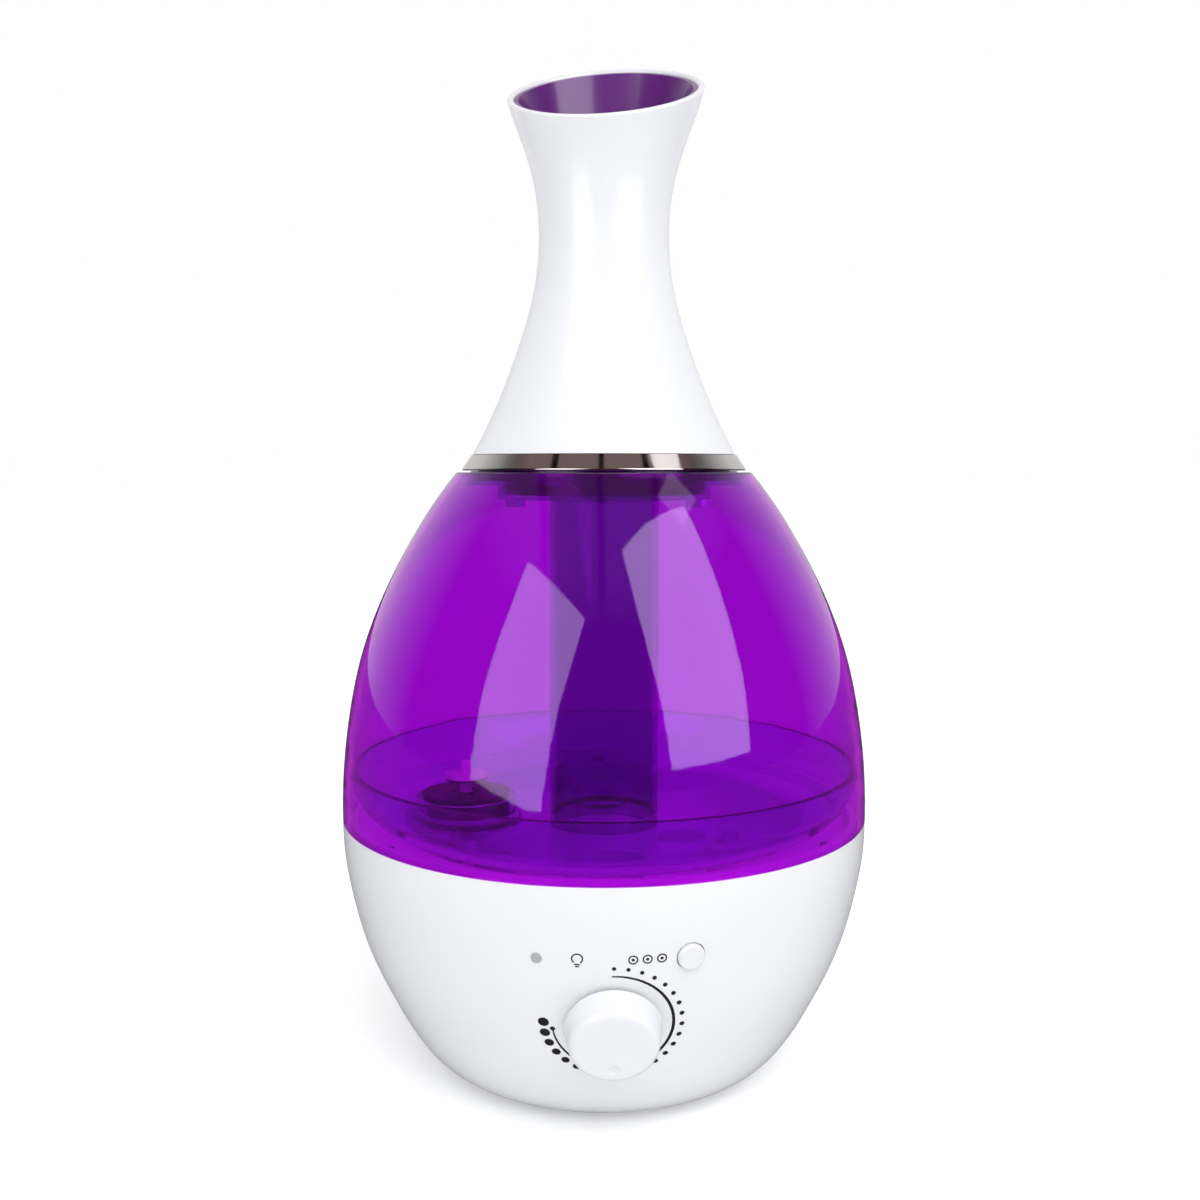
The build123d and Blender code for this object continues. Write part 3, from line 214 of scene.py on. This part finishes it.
WHITE = (0.79, 0.8, 0.83)
WHITE_SHADE = (0.78, 0.79, 0.82)
materials = {
    "nozzle_white": gloss_plastic("nozzle_white", WHITE, WHITE_SHADE),
    "base_white": gloss_plastic("base_white", WHITE, WHITE_SHADE),
    "knob_white": gloss_plastic("knob_white", (0.77, 0.78, 0.81), (0.76, 0.77, 0.8)),
    "button_white": gloss_plastic("button_white", (0.76, 0.77, 0.8), (0.75, 0.76, 0.79)),
    "basin_white": matte_plastic("basin_white", (0.88, 0.88, 0.9), (0.86, 0.86, 0.88), (0.3, 0.42)),
    "cover_white": matte_plastic("cover_white", (0.8, 0.8, 0.81), (0.76, 0.76, 0.78)),
    "valve_white": matte_plastic("valve_white", (0.75, 0.75, 0.76), (0.7, 0.7, 0.72), (0.3, 0.4)),
    "float_white": matte_plastic("float_white", (0.82, 0.82, 0.78), (0.78, 0.78, 0.74)),
    "nozzle_liner": gloss_plastic("nozzle_liner", (0.13, 0.02, 0.2), (0.11, 0.015, 0.17), (0.2, 0.32), 0.2),
    "seat_dark": gloss_plastic("seat_dark", (0.035, 0.004, 0.07), (0.03, 0.003, 0.055)),
    "trim_chrome": metal("trim_chrome", (0.72, 0.69, 0.67), (0.66, 0.63, 0.61), (0.04, 0.09)),
    "tank_purple": clear_plastic("tank_purple", (0.51, 0.025, 0.7), (0.95, 0.5, 1.0)),
    "floor_purple": clear_plastic("floor_purple", (0.76, 0.42, 0.97), (0.97, 0.7, 1.0)),
    "tube_purple": clear_plastic("tube_purple", (0.5, 0.05, 0.66), (0.8, 0.3, 0.92)),
    "lens_clear": gloss_plastic("lens_clear", (0.42, 0.43, 0.46), (0.38, 0.39, 0.42)),
    "led_clear": clear_plastic("led_clear", (0.86, 0.88, 0.95), (0.9, 0.9, 0.95)),
    "reed_glass": clear_plastic("reed_glass", (0.7, 0.85, 0.75), (0.8, 0.9, 0.85)),
    "seal_rubber": matte_plastic("seal_rubber", (0.02, 0.02, 0.022), (0.03, 0.03, 0.032), (0.6, 0.75)),
    "clear_rubber": matte_plastic("clear_rubber", (0.6, 0.6, 0.62), (0.55, 0.55, 0.57), (0.45, 0.6)),
    "foot_rubber": matte_plastic("foot_rubber", (0.25, 0.25, 0.26), (0.2, 0.2, 0.21), (0.65, 0.8)),
    "cap_dark": matte_plastic("cap_dark", (0.012, 0.012, 0.02), (0.02, 0.02, 0.028), (0.3, 0.42)),
    "duct_grey": matte_plastic("duct_grey", (0.32, 0.33, 0.35), (0.28, 0.29, 0.31)),
    "chip_black": matte_plastic("chip_black", (0.015, 0.015, 0.017), (0.025, 0.025, 0.027)),
    "fan_black": matte_plastic("fan_black", (0.012, 0.012, 0.013), (0.02, 0.02, 0.021)),
    "inlet_black": matte_plastic("inlet_black", (0.014, 0.014, 0.015), (0.022, 0.022, 0.023)),
    "capacitor_black": gloss_plastic("capacitor_black", (0.015, 0.015, 0.03), (0.02, 0.02, 0.04)),
    "transformer_tape": gloss_plastic("transformer_tape", (0.55, 0.36, 0.04), (0.45, 0.28, 0.03)),
    "spring_steel": metal("spring_steel", (0.5, 0.5, 0.52), (0.42, 0.42, 0.44), (0.2, 0.3)),
    "screw_steel": metal("screw_steel", (0.48, 0.48, 0.5), (0.4, 0.4, 0.42), (0.25, 0.4)),
    "plate_steel": metal("plate_steel", (0.6, 0.6, 0.61), (0.52, 0.52, 0.53), (0.25, 0.4), (1, 8, 1)),
    "heatsink_alu": metal("heatsink_alu", (0.62, 0.63, 0.64), (0.55, 0.56, 0.57), (0.3, 0.45), (8, 1, 1)),
    "pot_metal": metal("pot_metal", (0.55, 0.55, 0.55), (0.48, 0.48, 0.48), (0.25, 0.4)),
    "copper": metal("copper", (0.6, 0.25, 0.1), (0.5, 0.2, 0.08), (0.25, 0.4), (1, 1, 12)),
    "pin_brass": metal("pin_brass", (0.72, 0.55, 0.25), (0.65, 0.48, 0.2), (0.15, 0.25)),
    "magnet": matte_plastic("magnet", (0.05, 0.048, 0.048), (0.07, 0.068, 0.068)),
    "piezo": metal("piezo", (0.68, 0.67, 0.62), (0.6, 0.59, 0.55), (0.3, 0.42)),
    "pcb_green": circuit("pcb_green"),
    "filter_foam": foam("filter_foam", (0.05, 0.05, 0.055), (0.01, 0.01, 0.01)),
    "print_black": matte_plastic("print_black", (0.012, 0.012, 0.014), (0.02, 0.02, 0.022), (0.35, 0.5)),
}
slot_of = {entry["node"]: entry["material_slot"] for entry in frame["record"]["subparts"]}
for name, node in frame["nodes"].items():
    node.data.materials.clear()
    node.data.materials.append(materials[slot_of[name]])


# ------------------------------------------------------------------------------------------
# Control panel print
# ------------------------------------------------------------------------------------------
def facing(node_name):
    """Function that casts a ray from a start along a direction onto a CAD node."""
    mesh = frame["nodes"][node_name].data
    tree = BVHTree.FromPolygons([v.co.copy() for v in mesh.vertices],
                                [tuple(p.vertices) for p in mesh.polygons])
    return lambda start, direction: tree.ray_cast(start, direction)


knob_joint = next(joint for joint in frame["joints"] if joint["name"] == "knob_turn")
button_joint = next(joint for joint in frame["joints"] if joint["name"] == "light_press")
bowl_cast = facing("base_bowl")

INK = 0.05 * MM             # thickness of the printed film
INK_SINK = 0.03 * MM        # how far its underside sits in the bowl
PRINT_REACH = 40 * MM       # how far out the print is aimed from
ARC_STEP = 6.0              # degrees between two points of the dial's arc
RING_STEP = 20.0            # and of a pictogram's ring


def panel_frame(centre, outward):
    """(centre, right, up, out) on the panel: right is level and up leans with the wall."""
    out = Vector(outward).normalized()
    right = Vector((0, 0, 1)).cross(out).normalized()
    return Vector(centre), right, out.cross(right), out


def print_outline(mesh, lay, loop):
    """A filled shape: one loop of points with an upper, a lower and side faces."""
    low = [lay(point, -INK_SINK) for point in loop]
    high = [lay(point, INK) for point in loop]
    mesh.faces.new(high)
    mesh.faces.new(reversed(low))
    for index in range(len(loop)):
        after = (index + 1) % len(loop)
        mesh.faces.new((low[index], low[after], high[after], high[index]))


def print_band(mesh, lay, inner, outer, closed):
    """A line between two rows of points: one strip all round, capped at its ends or closed on itself."""
    rails = [[lay(point, lift) for point in row]
             for row, lift in ((inner, -INK_SINK), (outer, -INK_SINK), (outer, INK), (inner, INK))]
    count = len(inner)
    for index in range(count if closed else count - 1):
        after = (index + 1) % count
        for first, second in zip(rails, rails[1:] + rails[:1]):
            mesh.faces.new((first[index], second[index], second[after], first[after]))
    if not closed:
        mesh.faces.new([rail[0] for rail in rails])
        mesh.faces.new([rail[-1] for rail in reversed(rails)])


def printed(name, panel, outlines, bands):
    """A thin printed film on the bowl, from outlines and bands of (right, up) points in metres."""
    centre, right, up, out = panel
    mesh = bmesh.new()

    def lay(point, lift):
        start = centre + right * point[0] + up * point[1] + out * PRINT_REACH
        spot, normal, _, _ = bowl_cast(start, -out)
        return mesh.verts.new(spot + normal * lift)

    for loop in outlines:
        print_outline(mesh, lay, loop)
    for band in bands:
        print_band(mesh, lay, *band)
    bmesh.ops.triangulate(mesh, faces=[face for face in mesh.faces if len(face.verts) > 4])
    bmesh.ops.recalc_face_normals(mesh, faces=mesh.faces)
    data = bpy.data.meshes.new(name)
    mesh.to_mesh(data)
    mesh.free()
    data.materials.append(materials["print_black"])
    piece = bpy.data.objects.new(name, data)
    scene.collection.objects.link(piece)
    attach(piece, "base")


def circle(centre, radius, count):
    return [(centre[0] + radius * math.cos(2 * math.pi * k / count),
             centre[1] + radius * math.sin(2 * math.pi * k / count)) for k in range(count)]


def clock(radius, degrees):
    """Point at a radius, turned clockwise from the top."""
    angle = math.radians(degrees)
    return radius * math.sin(angle), radius * math.cos(angle)


def arc_band(radius, start, end, width_at, step=ARC_STEP):
    """The two edges of an arc whose width changes along it, and whether it closes on itself."""
    closed = end - start >= 360.0
    count = max(2, round((end - start) / step))
    inner = []
    outer = []
    for k in range(count if closed else count + 1):
        share = k / count
        degrees = start + (end - start) * share
        half = width_at(share) / 2
        inner.append(clock(radius - half, degrees))
        outer.append(clock(radius + half, degrees))
    return inner, outer, closed


knob_panel = panel_frame(knob_joint["pos_m"], knob_joint["axis"])
DOT_CIRCLE = 21.6 * MM
DOTS = 24
DOT_SWEEP = 270.0
DOT_SIDES = 14
ARC_CIRCLE = 18.9 * MM
ARC_START, ARC_END = -2, 262
ARC_DOT = (clock(ARC_CIRCLE, 263), 0.85 * MM, DOT_SIDES)


def dot_size(share):
    """Diameter of a dial dot: a steady growth, with the last few much larger."""
    return (1.3 + 1.0 * share + 1.2 * share ** 4) * MM


def arc_width(share):
    """Width of the dial's arc: fine at both ends, widest halfway."""
    return (0.4 + 0.65 * math.sin(math.pi * share) ** 0.6) * MM


shares = [k / (DOTS - 1) for k in range(DOTS)]
dots = [circle(clock(DOT_CIRCLE, DOT_SWEEP * share), dot_size(share) / 2, DOT_SIDES) for share in shares]
printed("dial_dots", knob_panel, dots, [])
printed("dial_arc", knob_panel, [circle(*ARC_DOT)], [arc_band(ARC_CIRCLE, ARC_START, ARC_END, arc_width)])


# Pictograms beside the indicator window and the light button: a lamp bulb and three small lights
def ring(centre, radius, width, start=0.0, end=360.0):
    """A round line of one width about a centre, from start to end degrees."""
    inner, outer, closed = arc_band(radius, start, end, lambda share: width, RING_STEP)
    moved = [[(x + centre[0], y + centre[1]) for x, y in row] for row in (inner, outer)]
    return moved[0], moved[1], closed


def bar(centre, width, height):
    """A rectangle about a centre."""
    return [(centre[0] + x * width / 2, centre[1] + y * height / 2) for x, y in
            ((-1, -1), (1, -1), (1, 1), (-1, 1))]


lens_low, lens_high = (Vector(corner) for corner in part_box("indicator_lens"))
lens_at = (lens_low + lens_high) / 2
lean = math.asin(abs(Vector(button_joint["axis"]).z))
icon_panel = panel_frame((0, -lens_at.xy.length, lens_at.z), (0, -math.cos(lean), -math.sin(lean)))
STROKE = 0.45 * MM
BULB = (-11.2 * MM, 0.35 * MM)
BULB_RADIUS = 1.65 * MM
BULB_GAP = 145                              # degrees from the top to where the bulb's outline ends
CAP_LINES = ((1.95 * MM, 1.7 * MM), (2.7 * MM, 1.2 * MM))       # drop below the bulb's centre, length
cap_lines = [bar((BULB[0], BULB[1] - drop), length, STROKE) for drop, length in CAP_LINES]
printed("bulb_icon", icon_panel, cap_lines, [ring(BULB, BULB_RADIUS, STROKE, -BULB_GAP, BULB_GAP)])
LIGHTS_X = 10.2 * MM
LIGHTS_PITCH = 4.4 * MM
LIGHT_RING = 1.35 * MM
LIGHT_DOT = 0.5 * MM
LIGHT_DOT_SIDES = 12
light_spots = [(LIGHTS_X + LIGHTS_PITCH * step, 0.0) for step in (-1, 0, 1)]
printed("lights_icon", icon_panel, [circle(spot, LIGHT_DOT, LIGHT_DOT_SIDES) for spot in light_spots],
        [ring(spot, LIGHT_RING, STROKE) for spot in light_spots])

# ------------------------------------------------------------------------------------------
# Stage, lights and camera
# ------------------------------------------------------------------------------------------
# The floor is pale to the eye and to lamps, and dark where a glossy surface mirrors it.
FLOOR_GLOW = 0.2
FLOOR_CLOUD = 0.4
FLOOR_PALE, FLOOR_SHADE, FLOOR_MIRRORED = (0.9, 0.9, 0.9), (0.88, 0.88, 0.885), (0.03, 0.03, 0.03, 1)
FLOOR_ROUGHNESS = 0.9
floor_material, nodes, link, output, place = new_material("floor_pale")
shader = nodes.new("ShaderNodeBsdfPrincipled")
clouds = noise(nodes, link, place, FLOOR_CLOUD)
link(two_colors(nodes, link, clouds, FLOOR_PALE, FLOOR_SHADE), shader.inputs["Base Color"])
shader.inputs["Roughness"].default_value = FLOOR_ROUGHNESS
shader.inputs["Specular IOR Level"].default_value = 0.0
shader.inputs["Emission Color"].default_value = (1, 1, 1, 1)
shader.inputs["Emission Strength"].default_value = FLOOR_GLOW
dark = nodes.new("ShaderNodeBsdfDiffuse")
dark.inputs["Color"].default_value = FLOOR_MIRRORED
path = nodes.new("ShaderNodeLightPath")
mirrored = nodes.new("ShaderNodeMath")
mirrored.operation = "MULTIPLY"
link(path.outputs["Is Glossy Ray"], mirrored.inputs[0])
link(path.outputs["Is Reflection Ray"], mirrored.inputs[1])
mix = nodes.new("ShaderNodeMixShader")
link(mirrored.outputs[0], mix.inputs[0])
link(shader.outputs[0], mix.inputs[1])
link(dark.outputs[0], mix.inputs[2])
link(mix.outputs[0], output.inputs["Surface"])
FLOOR_SIZE = 30.0
floor_mesh = bpy.data.meshes.new("floor")
half = FLOOR_SIZE / 2
floor_mesh.from_pydata([(-half, -half, 0), (half, -half, 0), (half, half, 0), (-half, half, 0)], [],
                       [(0, 1, 2, 3)])
floor_mesh.materials.append(floor_material)
floor = bpy.data.objects.new("floor", floor_mesh)
scene.collection.objects.link(floor)

# The room: white light all round. Glossy surfaces meet black cloth in front, white behind and a brown
# ceiling, as in a studio.
ROOM_LIGHT = 0.66
SEAM_SCALE = 0.75
SEAM_PHASE = 0.6
SEAM_RAMP = ((0.02, 0.0), (0.06, 1.0))      # where the wave leaves a dark seam between two boards
SEAM_COLOR = (0.006, 0.004, 0.004)
BOARD_COLOR = (0.2, 0.15, 0.145)
CLOTH_RAMP = ((0.55, 0.006), (0.85, 0.7))   # from front to back: black cloth, then white
CEILING_RAMP = ((0.62, 0.0), (0.78, 1.0))   # how high up the ceiling starts
world = bpy.data.worlds.new("studio")
scene.world = world
world.use_nodes = True
nodes, link = world.node_tree.nodes, world.node_tree.links.new
background = nodes["Background"]


def room_node(kind, **settings):
    """A node of the room's light, with its settings."""
    node = nodes.new(kind)
    for key, value in settings.items():
        setattr(node, key, value)
    return node


def room_math(operation, first, second):
    """The result of a math node on two sockets or numbers."""
    node = room_node("ShaderNodeMath", operation=operation)
    for socket, value in zip(node.inputs, (first, second)):
        if isinstance(value, (int, float)):
            socket.default_value = value
        else:
            link(value, socket)
    return node.outputs[0]


def room_ramp(value, *stops):
    """Grey ramp over a value, from (position, grey) stops."""
    ramp = room_node("ShaderNodeValToRGB")
    link(value, ramp.inputs["Fac"])
    elements = ramp.color_ramp.elements
    for element, (position, grey) in zip(elements, stops):
        element.position = position
        element.color = (grey, grey, grey, 1)
    return ramp.outputs["Color"]


def room_mix(factor, first, second):
    """The first colour at a factor of 0, the second at 1; each is a colour or a socket."""
    node = room_node("ShaderNodeMix", data_type="RGBA")
    link(factor, node.inputs["Factor"])
    for key, value in (("A", first), ("B", second)):
        if isinstance(value, tuple):
            node.inputs[key].default_value = (*value, 1)
        else:
            link(value, node.inputs[key])
    return node.outputs["Result"]


direction = room_node("ShaderNodeTexCoord").outputs["Generated"]
parts = room_node("ShaderNodeSeparateXYZ")
link(direction, parts.inputs[0])
path = room_node("ShaderNodeLightPath")
glossy = room_math("MULTIPLY", path.outputs["Is Glossy Ray"], path.outputs["Is Reflection Ray"])
depth = room_math("ADD", room_math("MULTIPLY", parts.outputs["Y"], 0.5), 0.5)
cloth = room_ramp(depth, *CLOTH_RAMP)
ceiling = room_ramp(parts.outputs["Z"], *CEILING_RAMP)
seams = room_node("ShaderNodeTexWave", wave_type="BANDS", bands_direction="X")
seams.inputs["Scale"].default_value = SEAM_SCALE
seams.inputs["Phase Offset"].default_value = SEAM_PHASE
link(direction, seams.inputs["Vector"])
boards = room_mix(room_ramp(seams.outputs["Fac"], *SEAM_RAMP), SEAM_COLOR, BOARD_COLOR)
reflected = room_mix(ceiling, cloth, boards)
lit = room_mix(path.outputs["Is Diffuse Ray"], (1.0, 1.0, 1.0), (ROOM_LIGHT,) * 3)
link(room_mix(glossy, lit, reflected), background.inputs["Color"])

TARGET = Vector((0, 0, 0.15))
SOFTBOX_DISTANCE = 1.5


def softbox(name, azimuth, elevation, width, height, radiance, roll=0.0):
    """A soft rectangular lamp for the reflections. Azimuth is counted from the front towards +X."""
    turn = math.radians(azimuth)
    lift = math.radians(elevation)
    towards = Vector((math.sin(turn) * math.cos(lift), -math.cos(turn) * math.cos(lift), math.sin(lift)))
    lamp = bpy.data.lights.new(name, "AREA")
    lamp.shape = "RECTANGLE"
    lamp.size = width
    lamp.size_y = height
    lamp.energy = radiance * math.pi * width * height
    piece = bpy.data.objects.new(name, lamp)
    piece.location = TARGET + towards * SOFTBOX_DISTANCE
    aimed = (-towards).to_track_quat("-Z", "Y").to_matrix()
    piece.rotation_euler = (aimed @ Matrix.Rotation(math.radians(roll), 3, "Z")).to_euler()
    piece.visible_diffuse = False
    scene.collection.objects.link(piece)


softbox("softbox_left", azimuth=-38, elevation=21, width=0.9, height=1.4, radiance=2.6, roll=-10)
softbox("softbox_right", azimuth=43, elevation=30.5, width=1.08, height=1.6, radiance=3.2)
softbox("card_top", azimuth=75, elevation=58, width=0.4, height=0.3, radiance=1.0)

# The key lamp makes the soft shadow. It is seen neither in the gloss nor through the tank.
KEY_STRENGTH = 1.9
KEY_SPREAD = math.radians(50)
KEY_LEAN = math.radians(35)
KEY_TURN = math.radians(14)
key_data = bpy.data.lights.new("key", "SUN")
key_data.energy = KEY_STRENGTH
key_data.angle = KEY_SPREAD
key = bpy.data.objects.new("key", key_data)
key.rotation_euler = (KEY_LEAN, 0, KEY_TURN)
key.visible_glossy = False
key.visible_transmission = False
scene.collection.objects.link(key)

# The camera stands as far off as the curves of the joints show, level with the trim ring's edge.
CAMERA_DISTANCE = 0.4705
CAMERA_AZIMUTH = -1.9
CAMERA_HEIGHT = 0.217
PITCH = 5.84
LENS = 38.8
SENSOR = 36.0
SIDE_SHIFT = -0.0033
camera_data = bpy.data.cameras.new("camera")
camera_data.lens = LENS
camera_data.sensor_width = SENSOR
camera_data.shift_x = SIDE_SHIFT
camera = bpy.data.objects.new("camera", camera_data)
turn = math.radians(CAMERA_AZIMUTH)
camera.location = (CAMERA_DISTANCE * math.sin(turn), -CAMERA_DISTANCE * math.cos(turn), CAMERA_HEIGHT)
camera.rotation_euler = (math.radians(90 - PITCH), 0, turn)
scene.collection.objects.link(camera)
scene.camera = camera
